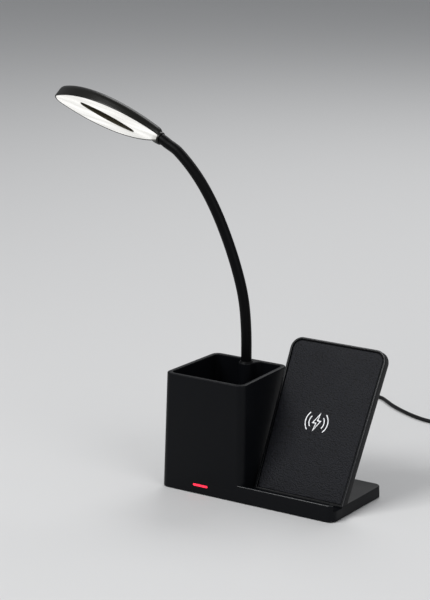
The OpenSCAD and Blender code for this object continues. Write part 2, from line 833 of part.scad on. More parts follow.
// A ring of a tube round a point, square to the way that the tube runs.
function ring(c, along, r, sides) =
    let (side = unit(cross([0, 0, 1], along)), up = unit(cross(along, side)))
    [for (k = [0:sides - 1]) c + r * (cos(360 * (k + 0.5) / sides) * side + sin(360 * (k + 0.5) / sides) * up)];
function tube_points(p, r, sides) = [
    for (i = [0:len(p) - 1])
        each ring(p[i], unit(p[min(i + 1, len(p) - 1)] - p[max(i - 1, 0)]), r, sides)
];
function tube_faces(rings, sides) = concat(
    [[for (k = [0:sides - 1]) k]],
    [for (i = [0:rings - 2], k = [0:sides - 1]) each
        let (a = i * sides + k, b = i * sides + (k + 1) % sides)
        [[a, a + sides, b], [b, a + sides, b + sides]]],
    [[for (k = [sides - 1:-1:0]) (rings - 1) * sides + k]]
);
module tube(p, d, sides) {
    polyhedron(tube_points(p, d / 2 / cos(180 / sides) * 0.985, sides), tube_faces(len(p), sides));
}

module cord_lead() {
    color(black) tube(smooth_route(lead_route, 3), cord_d, 8);
}

// The coil: in along the table, up a layer at the middle, and out again on top.
coil_start = -90;
steps_in = coil_turns_in * loop_rings;
steps_up = loop_rings / 2;
steps_out = coil_turns_out * loop_rings;
function coil_radius(i) =
    i < steps_in ? lerp(coil_out, coil_in, i / steps_in)
    : i < steps_in + steps_up ? coil_in - 1.1 * sin(180 * (i - steps_in) / steps_up)
    : lerp(coil_in, coil_out, (i - steps_in - steps_up) / steps_out);
function coil_height(i) =
    i < steps_in ? cord_z
    : i < steps_in + steps_up ? cord_z + coil_layer * (1 - cos(180 * (i - steps_in) / steps_up)) / 2
    : cord_z + coil_layer;
function coil_point(i) =
    let (a = coil_start + 360 * i / loop_rings, r = coil_radius(i))
    [coil_centre[0] + r * cos(a), coil_centre[1] + r * sin(a), coil_height(i)];
coil_steps = steps_in + steps_up + steps_out;
coil_end = coil_point(coil_steps);
coil_path = concat(
    [for (i = [0:coil_steps]) coil_point(i)],
    [coil_end + [7, 0, 0], coil_end + [13, 0, -0.8],
     [coil_end[0] + tail_run - cord_d, coil_end[1], usb_axis_z],
     [coil_end[0] + tail_run, coil_end[1], usb_axis_z]]
);
// Least gap between turns of the coil, measured at its rings.
coil_gap = min([for (i = [0:len(coil_path) - 14], j = [i + 13:len(coil_path) - 1])
    norm(coil_path[i] - coil_path[j])]) - cord_d;
echo(coil_gap = coil_gap);

module cord_coil() {
    color(black) tube(coil_path, cord_d, coil_sides);
}

module coil_tie() {
    band = 4;
    low = 0.12;
    high = cord_z + coil_layer + cord_d / 2 + 0.9;
    x0 = coil_in - cord_d / 2 - 1.6;
    x1 = coil_out + cord_d / 2 + 1.6;
    color(slate) translate([coil_centre[0], coil_centre[1], 0]) rotate([0, 0, 45]) difference() {
        translate([x0, -band / 2, low]) cube([x1 - x0, band, high - low]);
        translate([x0 + 0.7, -band, low + 0.001]) cube([x1 - x0 - 1.4, 2 * band, high - low - 0.7]);
    }
}

module power_plug() {
    color(black) translate([socket_x, y_back + plug_pocket, socket_z]) rotate([-90, 0, 0]) difference() {
        union() {
            linear_extrude(plug_l) slot_plan(plug_w, plug_h);
            translate([0, 0, plug_l]) cylinder(relief_l, r1 = plug_h / 2 - 0.3, r2 = cord_d / 2 + 0.6, $fn = 48);
        }
        for (i = [0:3]) translate([0, 0, plug_l + 1.6 + i * 2]) difference() {
            cylinder(0.8, r = plug_h, $fn = 32);
            translate([0, 0, -over]) cylinder(3, r = cord_d / 2 + 0.25, $fn = 32);
        }
        translate([0, 0, -over]) linear_extrude(over + 1.2) slot_plan(8.34 + 0.06, 2.56 + 0.06);
    }
}

module power_plug_shell() {
    reach = 5.4;
    color(steel) translate([socket_x, y_back + plug_pocket + 1.2, socket_z]) rotate([90, 0, 0]) difference() {
        linear_extrude(reach) slot_plan(8.34 - 0.06, 2.5);
        translate([0, 0, 1.4]) linear_extrude(reach) slot_plan(6.9, 1.3);
    }
}

usb_start = [coil_end[0] + tail_run, coil_end[1], usb_axis_z];
usb_l = 22;
usb_w = 16;
usb_h = 8;

module usb_plug() {
    color(black) translate(usb_start) rotate([0, 90, 0]) difference() {
        union() {
            cylinder(relief_l, r1 = cord_d / 2 + 0.6, r2 = usb_h / 2 - 0.2, $fn = 48);
            translate([0, 0, relief_l]) linear_extrude(usb_l) rotate(90) usb_body_plan();
        }
        for (i = [0:3]) translate([0, 0, 1.2 + i * 2]) difference() {
            cylinder(0.8, r = usb_h, $fn = 32);
            translate([0, 0, -over]) cylinder(3, r = cord_d / 2 + 0.25, $fn = 32);
        }
    }
}

module usb_body_plan() {
    r = 2;
    square([usb_w - 2 * r, usb_h], center = true);
    square([usb_w, usb_h - 2 * r], center = true);
    for (x = [-1, 1], y = [-1, 1]) translate([x * (usb_w / 2 - r), y * (usb_h / 2 - r)]) circle(r, $fn = 32);
}

module usb_plug_shell() {
    reach = 18.7;
    color(steel) translate(usb_start + [relief_l + usb_l, -6, -2.25]) difference() {
        cube([reach, 12, 4.5]);
        translate([1, 0.4, 0.4]) cube([reach, 11.2, 3.7]);
        for (y = [2.4, 7.2]) translate([9, y, -over]) cube([2.4, 2.4, 2 * over]);
    }
    color(dark) translate(usb_start + [relief_l + usb_l + 1, -5.5, -1.8]) cube([reach - 2, 11, 1.7]);
}

housing();
bottom_cover();
base_pad();
cover_screws();
ballast_plate();
control_board();
indicator_lens();
indicator_led();
power_socket();
stand_shell();
stand_frame();
stand_face();
charging_coil();
ferrite_sheet();
charger_board();
stand_screws();
neck_root();
neck_nut();
neck_link_1();
neck_link_2();
neck_link_3();
neck_link_4();
neck_link_5();
neck_link_6();
neck_link_7();
head_elbow();
head_shell();
slot_liner();
head_rim_ring();
diffuser();
led_board();
led_chips();
head_screws();
power_plug();
power_plug_shell();
cord_lead();
cord_coil();
coil_tie();
usb_plug();
usb_plug_shell();
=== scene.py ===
import bpy, bmesh
from math import sin, cos, pi, radians, degrees, sqrt, acos, atan2, tan
from mathutils import Vector, Matrix


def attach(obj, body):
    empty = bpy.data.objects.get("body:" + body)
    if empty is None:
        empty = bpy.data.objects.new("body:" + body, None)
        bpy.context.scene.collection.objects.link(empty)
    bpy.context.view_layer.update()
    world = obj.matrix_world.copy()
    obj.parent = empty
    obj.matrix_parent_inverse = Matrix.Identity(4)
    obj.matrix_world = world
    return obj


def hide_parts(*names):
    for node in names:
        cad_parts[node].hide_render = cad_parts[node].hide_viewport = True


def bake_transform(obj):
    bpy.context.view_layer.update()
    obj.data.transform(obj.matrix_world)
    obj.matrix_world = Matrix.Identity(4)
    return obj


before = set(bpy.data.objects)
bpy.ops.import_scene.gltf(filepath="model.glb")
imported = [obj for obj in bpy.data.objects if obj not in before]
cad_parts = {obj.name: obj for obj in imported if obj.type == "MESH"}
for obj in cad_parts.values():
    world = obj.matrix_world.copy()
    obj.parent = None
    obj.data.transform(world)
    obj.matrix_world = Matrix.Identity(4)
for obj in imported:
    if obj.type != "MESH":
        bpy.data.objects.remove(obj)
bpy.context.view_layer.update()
scene = bpy.context.scene
mm = 0.001  # pieces are drawn in millimetres


def v(*p):
    return Vector([c * mm for c in p])


def lerp(a, b, t):
    return a + (b - a) * t


def newObject(name, bm, material, smooth=35):
    bmesh.ops.recalc_face_normals(bm, faces=bm.faces)
    mesh = bpy.data.meshes.new(name)
    bm.to_mesh(mesh)
    bm.free()
    ob = bpy.data.objects.new(name, mesh)
    scene.collection.objects.link(ob)
    for f in mesh.polygons:
        f.use_smooth = True
    if smooth:
        mesh.set_sharp_from_angle(angle=radians(smooth))
    for m in (material if isinstance(material, (list, tuple)) else [material]):
        mesh.materials.append(m)
    return ob


# joins closed rings of equal length with quads, and caps the ends where asked
def loft(bm, rings, capStart=True, capEnd=True):
    rows = [[bm.verts.new(p) for p in ring] for ring in rings]
    faces = []
    for a, b in zip(rows, rows[1:]):
        n = len(a)
        for i in range(n):
            j = (i + 1) % n
            if (a[i].co - a[j].co).length < 1e-9 and (b[i].co - b[j].co).length < 1e-9:
                continue
            faces.append(bm.faces.new((a[i], a[j], b[j], b[i])))
    if capStart:
        faces.append(bm.faces.new(rows[0]))
    if capEnd:
        faces.append(bm.faces.new(rows[-1][::-1]))
    return faces


# points along an arc, in degrees: where it starts and how far it turns
def arc(cx, cy, r, start, turn, seg=8):
    angles = [radians(start + turn * k / seg) for k in range(seg + 1)]
    return [(cx + r * cos(a), cy + r * sin(a)) for a in angles]


def roundedRect(x0, x1, y0, y1, r, seg=8):
    return (arc(x1 - r, y0 + r, r, -90, 90, seg) + arc(x1 - r, y1 - r, r, 0, 90, seg)
            + arc(x0 + r, y1 - r, r, 90, 90, seg) + arc(x0 + r, y0 + r, r, 180, 90, seg))


def ringAt(points, z):
    return [v(x, y, z) for x, y in points]


def finish(ob, body, replaced=()):
    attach(ob, body)
    if replaced:
        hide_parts(*replaced)
    return ob


def newMaterial(name):
    m = bpy.data.materials.new(name)
    m.use_nodes = True
    tree = m.node_tree
    return m, tree.nodes, tree.links, tree.nodes["Principled BSDF"]


# each input of a node gets a number, or the socket that gives it
def feed(links, node, values):
    for name, value in values.items():
        if isinstance(value, bpy.types.NodeSocket):
            links.new(value, node.inputs[name])
        else:
            node.inputs[name].default_value = value
    return node.outputs


def newGroup(name, numbers, outputs):
    group = bpy.data.node_groups.new(name, "ShaderNodeTree")
    group.interface.new_socket("Vector", in_out="INPUT", socket_type="NodeSocketVector")
    for n, value in numbers.items():
        socket = group.interface.new_socket(n, in_out="INPUT", socket_type="NodeSocketFloat")
        socket.default_value = value
    for n, kind in outputs.items():
        group.interface.new_socket(n, in_out="OUTPUT", socket_type=kind)
    inside = group.nodes.new("NodeGroupInput").outputs
    return group, group.nodes, group.links, inside, group.nodes.new("NodeGroupOutput")


# fine grain of a mould or a tool, as a bumped normal
grainGroup, nodes, links, inside, outside = newGroup(
    "fineGrain", {"Scale": 5, "Strength": 0.05, "Depth": 0.0002}, {"Normal": "NodeSocketVector"})
noise = feed(links, nodes.new("ShaderNodeTexNoise"),
             {"Vector": inside["Vector"], "Scale": inside["Scale"], "Detail": 3})
bump = feed(links, nodes.new("ShaderNodeBump"),
            {"Height": noise["Fac"], "Strength": inside["Strength"], "Distance": inside["Depth"]})
feed(links, outside, {"Normal": bump["Normal"]})

# broad patches: handled places are a little glossier, and a mask tells them apart
patchGroup, nodes, links, inside, outside = newGroup(
    "glossPatches", {"Size": 0.06, "Rough": 0.4, "Spread": 0.09},
    {"Roughness": "NodeSocketFloat", "Mask": "NodeSocketFloat"})
noise = feed(links, nodes.new("ShaderNodeTexNoise"),
             {"Vector": inside["Vector"], "Scale": inside["Size"], "Detail": 2})
centred = nodes.new("ShaderNodeMath")
centred.operation = "SUBTRACT"
spread = nodes.new("ShaderNodeMath")
spread.operation = "MULTIPLY_ADD"
feed(links, centred, {0: noise["Fac"], 1: 0.45})
feed(links, spread, {0: centred.outputs["Value"], 1: inside["Spread"], 2: inside["Rough"]})
feed(links, outside, {"Roughness": spread.outputs["Value"], "Mask": noise["Fac"]})


# object coordinates in millimetres
def mapped(nodes, links):
    coord = nodes.new("ShaderNodeTexCoord").outputs
    mapping = nodes.new("ShaderNodeMapping")
    return feed(links, mapping, {"Vector": coord["Object"], "Scale": (1000, 1000, 1000)})["Vector"]


def placed(nodes, links, group, vec, **numbers):
    node = nodes.new("ShaderNodeGroup")
    node.node_tree = group
    return feed(links, node, {"Vector": vec, **numbers})


def bumped(nodes, links, height, strength, invert=False):
    node = nodes.new("ShaderNodeBump")
    node.invert = invert
    return feed(links, node, {"Height": height, "Strength": strength, "Distance": 0.0003})["Normal"]


# a mask's span, drawn out to 0..1
def spanned(nodes, links, mask, low, high):
    span = nodes.new("ShaderNodeMapRange")
    return feed(links, span, {"Value": mask, "From Min": low, "From Max": high})["Result"]


# the colour drifts between two tones over a mask
def toned(nodes, links, mask, low, high):
    mix = nodes.new("ShaderNodeMix")
    mix.data_type = "RGBA"
    return feed(links, mix, {"A": (*low, 1), "B": (*high, 1), "Factor": mask})["Result"]


def scaled(colour, share):
    return [c * share for c in colour]


# moulded plastic, rubber or board: grain in the normal, patches in tone and gloss
def moulded(name, colour, rough=0.45, grain=0.04, grainScale=6.0, spec=0.5):
    m, nodes, links, shader = newMaterial(name)
    vec = mapped(nodes, links)
    fine = placed(nodes, links, grainGroup, vec, Scale=grainScale, Strength=grain)
    patch = placed(nodes, links, patchGroup, vec, Rough=rough)
    tone = toned(nodes, links, patch["Mask"], scaled(colour, 0.9), scaled(colour, 1.12))
    feed(links, shader, {"Base Color": tone, "Normal": fine["Normal"], "Roughness": patch["Roughness"],
                         "Specular IOR Level": spec})
    return m


def metal(name, colour, rough=0.28, grain=0.05, grainScale=3.0):
    m, nodes, links, shader = newMaterial(name)
    vec = mapped(nodes, links)
    fine = placed(nodes, links, grainGroup, vec, Scale=grainScale, Strength=grain, Depth=0.0001)
    patch = placed(nodes, links, patchGroup, vec, Size=0.25, Rough=rough, Spread=0.16)
    tone = toned(nodes, links, patch["Mask"], scaled(colour, 0.86), colour)
    feed(links, shader, {"Base Color": tone, "Normal": fine["Normal"], "Roughness": patch["Roughness"],
                         "Metallic": 1})
    return m


# lit plastic: soft streaks run along it, in a frame that is turned and sized to the piece
def glowing(name, dim, full, strength, base, place, turn, size):
    m, nodes, links, shader = newMaterial(name)
    coord = nodes.new("ShaderNodeTexCoord").outputs
    mapping = nodes.new("ShaderNodeMapping")
    mapping.vector_type = "TEXTURE"
    vec = feed(links, mapping, {"Vector": coord["Object"], "Location": place, "Rotation": turn,
                                "Scale": size})["Vector"]
    streak = feed(links, nodes.new("ShaderNodeTexNoise"), {"Vector": vec, "Scale": 1, "Detail": 2})
    lit = toned(nodes, links, spanned(nodes, links, streak["Fac"], 0.32, 0.62), dim, full)
    feed(links, shader, {"Base Color": (*base, 1), "Roughness": 0.4, "Emission Color": lit,
                         "Emission Strength": strength})
    return m


# the stand's face: fine pebbled grain that breaks up the sheen, with painted light in its colour:
# lighter on the pebbles' crowns as a painted highlight, darker in the gaps between them as painted shade
def pebbled(name, colour):
    m, nodes, links, shader = newMaterial(name)
    vec = mapped(nodes, links)
    cells = feed(links, nodes.new("ShaderNodeTexVoronoi"), {"Vector": vec, "Scale": 0.85})
    patch = placed(nodes, links, patchGroup, vec, Rough=0.55)
    litCrownsShadedGaps = spanned(nodes, links, cells["Distance"], 0, 0.9)
    feed(links, shader, {
        "Base Color": toned(nodes, links, litCrownsShadedGaps, scaled(colour, 1.9), scaled(colour, 0.35)),
        "Normal": bumped(nodes, links, cells["Distance"], 0.9, invert=True),
        "Roughness": patch["Roughness"], "Specular IOR Level": 0.17})
    return m


# wound wire: rings of strands round a centre
def wound(name, colour, centre, pitch):
    m = metal(name, colour, 0.3)
    nodes, links = m.node_tree.nodes, m.node_tree.links
    away = nodes.new("ShaderNodeVectorMath")
    wave, ripple = nodes.new("ShaderNodeMath"), nodes.new("ShaderNodeMath")
    away.operation, wave.operation, ripple.operation = "DISTANCE", "MULTIPLY", "SINE"
    feed(links, away, {0: nodes.new("ShaderNodeTexCoord").outputs["Object"], 1: centre})
    feed(links, wave, {0: away.outputs["Value"], 1: 2 * pi / pitch})
    feed(links, ripple, {0: wave.outputs["Value"]})
    strands = bumped(nodes, links, ripple.outputs["Value"], 0.6)
    feed(links, nodes["Principled BSDF"], {"Normal": strands})
    return m


matHousing = moulded("housingPlastic", (0.0026, 0.0030, 0.0040), 0.42, 0.035, 4.0, spec=0.11)
matFrame = moulded("framePlastic", (0.0022, 0.0025, 0.0031), 0.3, 0.02, 4.0, spec=0.1)
# eased edges: glossier than the housing, with the colour painted lighter as a highlight
matHighlightEdge = moulded("paintedHighlightEdge", (0.012, 0.013, 0.015), 0.26, 0.02, 4.0, spec=0.45)
matFace = pebbled("facePebble", (0.0066, 0.0072, 0.0098))
matNeck = moulded("neckSleeve", (0.0015, 0.0016, 0.0020), 0.46, 0.05, 5.0, spec=0.08)
matHead = moulded("headPlastic", (0.0050, 0.0048, 0.0036), 0.33, 0.03, 4.0, spec=0.24)
# slot liner: olive like the head, painted much lighter as lamp light falling on the slot's inner wall
matLinerLampLit = moulded("linerPaintedLampLight", (0.055, 0.048, 0.030), 0.35, 0.03, 4.0, spec=0.4)
matCord = moulded("cordSleeve", (0.0038, 0.0040, 0.0048), 0.45, 0.05, 6.0, spec=0.2)
matPlug = moulded("plugPlastic", (0.0050, 0.0054, 0.0064), 0.42, 0.05, 5.0, spec=0.3)
matCover = moulded("coverPlastic", (0.0060, 0.0064, 0.0072), 0.5, 0.12, 3.0, spec=0.3)
matPad = moulded("padRubber", (0.018, 0.018, 0.020), 0.7, 0.2, 3.0)
matTie = moulded("tieBand", (0.012, 0.012, 0.014), 0.8, 0.4, 2.0, spec=0.2)
matBoard = moulded("boardLacquer", (0.012, 0.085, 0.035), 0.3, 0.03, 4.0)
matLampBoard = moulded("lampBoardLacquer", (0.75, 0.76, 0.74), 0.35, 0.02, 4.0)
matChip = moulded("lampChip", (0.80, 0.72, 0.30), 0.3, 0.02, 6.0)
matFerrite = moulded("ferritePress", (0.035, 0.034, 0.036), 0.55, 0.15, 5.0)
matSteel = metal("brightSteel", (0.46, 0.46, 0.47), 0.33)
matScrew = metal("screwZinc", (0.34, 0.34, 0.36), 0.36)
matBallast = metal("ballastIron", (0.30, 0.30, 0.31), 0.5, 0.15, 1.5)
matCopper = wound("copperWire", (0.80, 0.36, 0.17), (0.041, 0.0093, 0.064), 0.0011)
matMark = moulded("markInk", (0.92, 0.93, 0.95), 0.5, 0.02, 4.0)
matRed = glowing("litIndicator", (1.0, 0.010, 0.040), (1.0, 0.018, 0.055), 1.25, (0.7, 0.02, 0.05),
                 (-0.0435, -0.0393, 0.0075), (0, 0, 0), (0.006, 0.004, 0.0015))

# the CAD pieces that stay in sight, or would if the lamp were opened
nodeFinish = {
    "bottom_cover": matCover, "base_pad": matPad, "ballast_plate": matBallast,
    "cover_screws": matScrew, "stand_screws": matScrew, "head_screws": matScrew,
    "control_board": matBoard, "charger_board": matBoard, "led_board": matLampBoard,
    "indicator_led": matChip, "led_chips": matChip,
    "charging_coil": matCopper, "ferrite_sheet": matFerrite,
    "power_socket": matSteel, "power_plug_shell": matSteel, "usb_plug_shell": matSteel,
    "neck_nut": matNeck,
}
for nodeName, finishMaterial in nodeFinish.items():
    for place in bpy.data.objects[nodeName].material_slots:
        place.material = finishMaterial
print("materials done")


# adds a camera or a lamp that looks from its place at an aim
def aimed(ob, place, aim):
    scene.collection.objects.link(ob)
    ob.location = place
    ob.rotation_euler = (Vector(aim) - Vector(place)).to_track_quat("-Z", "Y").to_euler()
    return ob


shot = {"place": (0.95030, -1.51780, 0.63740), "aim": (-0.05503, 0.0, 0.15399),
        "lens": 138.49, "sensor": 36, "far": 20}
camera = bpy.data.cameras.new("camera")
camera.lens = shot["lens"]
camera.sensor_width = shot["sensor"]
camera.sensor_fit = "AUTO"
camera.clip_end = shot["far"]
scene.camera = aimed(bpy.data.objects.new("camera", camera), shot["place"], shot["aim"])
print("camera set")

# base and cup: the walls draw in with the height, above a low edge
base = {"w": 165, "d": 79, "r": 6.5, "low": 0.8, "lipT": 3, "ledge": 9, "run": 14.3,
        "cupW": 80, "cupH": 97.5, "front": 76, "back": 72, "lean": 3.1, "rim": 3.8}
halfW, halfD = base["w"] / 2, base["d"] / 2

# power lead: socket, table, coil and far plug
lead = {
    "width": 3.4, "exit": (-42.5, 66.1, 7), "coil": (52, 257), "out": 26, "in": 12, "layer": 3.9,
    "turnsIn": 3.5, "turnsOut": 3, "rings": 24, "tail": 20, "plugZ": 4,
}
wireR = lead["width"] / 2  # also the height at which the wire lies
leadRoute = [
    lead["exit"], (-42.5, 70.1, 6.8), (-42.8, 75, 5.2), (-43.2, 85, 3), (-44, 95, 1.9),
    (-46, 110, wireR), (-51, 135, wireR), (-58, 160, wireR), (-66, 186, wireR), (-74, 212, wireR),
    (-79, 230, wireR), (-81, 243, wireR), (-79, 256, wireR), (-72, 266, wireR), (-61, 271, wireR),
    (-49, 269.5, wireR), (-39.5, 263, wireR), (-30, 255.5, wireR), (-17.5, 247.5, wireR),
    (-5, 240.8, wireR), (6, 236, wireR), (16, 232.8, wireR), (28, 231.2, wireR),
    (40, 231, wireR), (48.6, 231, wireR), (52, 231, wireR),
]


def smoothRoute(route, n):
    p = [Vector(q) for q in route]
    out = []
    for i in range(len(p) - 1):
        a, b, c, d = p[max(i - 1, 0)], p[i], p[i + 1], p[min(i + 2, len(p) - 1)]
        for t in [k / n for k in range(n)]:
            out.append(0.5 * ((2 * b) + (c - a) * t + (2 * a - 5 * b + 4 * c - d) * t * t
                              + (3 * b - a - 3 * c + d) * t ** 3))
    return out + [p[-1]]


def coilPath(q, finer):
    n = q["rings"] * finer
    stepsIn, stepsUp, stepsOut = q["turnsIn"] * n, n / 2, q["turnsOut"] * n
    total = int(stepsIn + stepsUp + stepsOut)
    out = []
    for i in range(total + 1):
        a = radians(-90 + 360 * i / n)
        if i < stepsIn:
            r, z = lerp(q["out"], q["in"], i / stepsIn), wireR
        elif i < stepsIn + stepsUp:
            u = (i - stepsIn) / stepsUp
            r, z = q["in"] - 1.1 * sin(pi * u), wireR + q["layer"] * (1 - cos(pi * u)) / 2
        else:
            r, z = lerp(q["in"], q["out"], (i - stepsIn - stepsUp) / stepsOut), wireR + q["layer"]
        out.append(Vector((q["coil"][0] + r * cos(a), q["coil"][1] + r * sin(a), z)))
    end = out[-1]
    far = end.x + q["tail"]
    tail = [end, end + Vector((7, 0, 0)), end + Vector((13, 0, -0.8)),
            Vector((far - q["width"], end.y, q["plugZ"])), Vector((far, end.y, q["plugZ"]))]
    return out + smoothRoute(tail, 4)[1:]


# points round a place, in the plane across a line that runs through it
def ringAcross(p, along, r, sides, turn=0.0):
    side = Vector((0, 0, 1)).cross(along).normalized()
    up = along.cross(side)
    angles = [2 * pi * (k + turn) / sides for k in range(sides)]
    return [(p + side * (r * cos(a)) + up * (r * sin(a))) * mm for a in angles]


def tubeRings(path, r, sides):
    ends = [(path[max(i - 1, 0)], path[min(i + 1, len(path) - 1)]) for i in range(len(path))]
    return [ringAcross(p, (b - a).normalized(), r, sides, 0.5) for p, (a, b) in zip(path, ends)]


coil = coilPath(lead, 2)
coilEnd = coil[-1]
wholePath = smoothRoute(leadRoute, 6)[:-1] + coil
bm = bmesh.new()
loft(bm, tubeRings(wholePath, wireR * 0.995, 14))
cordLead = finish(newObject("cordLead", bm, matCord, 60), "base", ("cord_lead", "cord_coil"))


def slotPlan(w, h, seg=12):
    return arc((w - h) / 2, 0, h / 2, -90, 180, seg) + arc((h - w) / 2, 0, h / 2, 90, 180, seg)


# rounded prism with small eased ends; place maps (x, y, run) to where it stands
def easedPrism(bm, plan, z0, z1, ease, place):
    cx = sum(p[0] for p in plan) / len(plan)
    cy = sum(p[1] for p in plan) / len(plan)
    wide = max(abs(p[0] - cx) for p in plan)
    high = max(abs(p[1] - cy) for p in plan)
    rings = []
    for z, inset in ((z0, ease), (z0 + ease * 0.3, ease * 0.3), (z0 + ease, 0),
                     (z1 - ease, 0), (z1 - ease * 0.3, ease * 0.3), (z1, ease)):
        sx, sy = (wide - inset) / wide, (high - inset) / high
        rings.append([place(cx + (x - cx) * sx, cy + (y - cy) * sy, z) for x, y in plan])
    loft(bm, rings)


# strain relief: a tapering stem with rings cut round it, nearly down to the wire
grooves = {"count": 4, "first": 1.6, "step": 2, "skin": 0.25}


def relief(bm, start, along, length, r0, r1):
    profile = [(0, r0)]
    for t in [grooves["first"] + i * grooves["step"] for i in range(grooves["count"])]:
        for dt, cut in ((0, False), (0.15, True), (0.65, True), (0.8, False)):
            r = wireR + grooves["skin"] if cut else lerp(r0, r1, (t + dt) / length)
            profile.append((t + dt, r))
    profile += [(length - 0.3, r1), (length, r1 - 0.3)]
    loft(bm, [ringAcross(Vector(start) + along * t, along, r, 24) for t, r in profile])


plug = {"x": -42.5, "y": halfD + 0.6, "z": 7, "body": 16, "w": 11, "h": 6.4, "stem": 10}
bm = bmesh.new()
easedPrism(bm, slotPlan(plug["w"], plug["h"]), 0, plug["body"], 0.5,
           lambda x, y, z: v(plug["x"] + x, plug["y"] + z, plug["z"] + y))
relief(bm, (plug["x"], plug["y"] + plug["body"] - 0.2, plug["z"]), Vector((0, 1, 0)), plug["stem"] + 0.2,
       plug["h"] / 2 - 0.3, wireR + 0.6)
finish(newObject("powerPlug", bm, matPlug), "base", ("power_plug",))

usb = {"stem": 10, "l": 22, "w": 16, "h": 8}
bm = bmesh.new()
relief(bm, coilEnd, Vector((1, 0, 0)), usb["stem"] + 0.2, wireR + 0.6, usb["h"] / 2 - 0.2)
easedPrism(bm, roundedRect(-usb["w"] / 2, usb["w"] / 2, -usb["h"] / 2, usb["h"] / 2, 2, 6),
           usb["stem"], usb["stem"] + usb["l"], 0.6,
           lambda x, y, z: (coilEnd + Vector((z, x, y))) * mm)
usbPlug = finish(newObject("usbPlug", bm, matPlug), "base", ("usb_plug",))
print("plugs done")

# tie: a flat band round the coil's windings, drawn up to the turns that it holds
tie = {"turn": 45, "wide": 4, "thick": 0.8, "corner": 2.2}
towards = Vector((cos(radians(tie["turn"])), sin(radians(tie["turn"])), 0))
across = Vector((-towards.y, towards.x, 0))
centre = Vector((*lead["coil"], 0))
reach, top, half = wireR + 0.1, lead["layer"] + lead["width"], tie["wide"] / 2
turns = [p - centre for p in coil]
held = [p.dot(towards) for p in turns if abs(p.dot(across)) < half and p.dot(towards) > 0]
r0, r1 = min(held) - reach, max(held) + reach
tieIn = roundedRect(r0, r1, 0.4, top + 0.1, tie["corner"] - 0.6)
tieOut = roundedRect(r0 - tie["thick"], r1 + tie["thick"], 0.1, top + 0.5, tie["corner"])
rings = [[(centre + towards * r + across * w + Vector((0, 0, z))) * mm
          for (r, z), w in ((a, -half), (a, half), (b, half), (b, -half))]
         for a, b in zip(tieIn, tieOut)]
bm = bmesh.new()
loft(bm, rings + rings[:1], capStart=False, capEnd=False)
bmesh.ops.remove_doubles(bm, verts=bm.verts, dist=1e-6)
coilBand = finish(newObject("coilBand", bm, matTie, 50), "base", ("coil_tie",))

column = {"bore": 8.8, "wall": 1.9, "right": 1.7, "fromBack": 14}
columnR = column["bore"] / 2 + column["wall"]
cupX, cupRight, groove = base["cupW"] / 2 - halfW, base["cupW"] - halfW, base["run"] - halfD
neckX, neckY = cupX + column["right"], halfD - column["fromBack"]


def draft(z):
    return (z - base["low"]) / (base["cupH"] - base["low"])


# how far each side and the front have drawn in at a height
def drawnIn(z):
    return (base["cupW"] - base["front"]) / 2 * draft(z), base["lean"] * draft(z)


# the cup's plan at a height, drawn in by inset: it is narrower behind, where backLine takes over
def cupRing(z, inset, r, backLine):
    t = draft(z)
    hf = lerp(base["cupW"], base["front"], t) / 2 - inset
    hb = lerp(base["cupW"], base["back"], t) / 2 - inset
    y1 = halfD - base["lean"] * t - inset
    return ringAt(arc(cupX + hf - r, r - y1, r, -90, 90) + arc(cupX + hb - r, y1 - r, r, 0, 90)
                  + backLine(y1)
                  + arc(cupX - hb + r, y1 - r, r, 90, 90) + arc(cupX - hf + r, r - y1, r, 180, 90), z)


# the column's outline from right to left: flared root, round nose, flared root; ease draws it in
def columnLine(y1, ease=0):
    root = halfD - base["lean"] - base["rim"] / 2 - neckY
    flare, r = root + ease, columnR - ease
    # the flare's arc is cut where it meets the wall's inner face
    cut = acos(min(1, max(min(y1 - neckY, flare), 0) / flare))
    turn = [lerp(pi / 2 - cut, 0, k / 8) for k in range(9)]
    right = [(neckX + columnR + root - flare * cos(a), neckY + flare * sin(a)) for a in turn]
    nose = [(neckX + r * cos(a), neckY + r * sin(a)) for a in [-pi * k / 24 for k in range(1, 24)]]
    return right + nose + [(2 * neckX - x, y) for x, y in right[::-1]]


def wallLine(y1):
    return [(x, y1) for x, y in columnLine(halfD - base["lean"] - base["rim"])]


# heights and insets: up the outside, over the rim and down the pocket to its floor
outer = ((10, 0), (30, 0), (60, 0), (96.2, 0),
         (96.75, 0.05), (97.15, 0.2), (97.4, 0.45), (97.5, 0.8))
over = ((97.5, 0.7), (97.42, 0.4), (97.2, 0.18), (96.8, 0.03), (96.2, 0))
pocket = ((60, 0.2), (30, 0.35), (18.2, 0.4), (17, 0.8), (16.3, 1.5), (16, 2.6))
bm = bmesh.new()
rings = [cupRing(z, i, base["r"] - i, wallLine) for z, i in outer]
for z, ease in over:
    r = base["r"] - base["rim"] / 2 + ease
    rings.append(cupRing(z, base["rim"] - ease, r, lambda y1: columnLine(y1, ease)))
rings += [cupRing(z, base["rim"] + extra, max(4.6 - extra * 0.3, 2), columnLine) for z, extra in pocket]
loft(bm, rings, capStart=False)
finish(newObject("cup", bm, matHousing, 30), "base", ("housing",))


# the base behind the lip's groove: its top edge is eased only on the right and behind
def deckPlan(z, inset):
    side, lean = drawnIn(z)
    x0, x1, y1 = side - halfW, halfW - side - inset, halfD - lean
    left, right = base["r"], base["r"] - inset
    return ([(x0, groove), (x1, groove)] + arc(x1 - right, y1 - inset - right, right, 0, 90)
            + [(cupRight + 1, y1 - inset), (cupRight - 4, y1)] + arc(x0 + left, y1 - left, left, 90, 90))


# the base before the groove: as wide as the base, or as far as the cup
def frontPlan(z, whole):
    side, lean = drawnIn(z)
    x0, x1, front, r = side - halfW, halfW - side, lean - halfD, base["r"]
    right = arc(x1 - r, front + r, r, 270, 90) + [(x1, groove)]
    short = [(cupRight - r, front), (cupRight - r, groove)]
    return arc(x0 + r, front + r, r, 180, 90) + (right if whole else short) + [(x0, groove)]


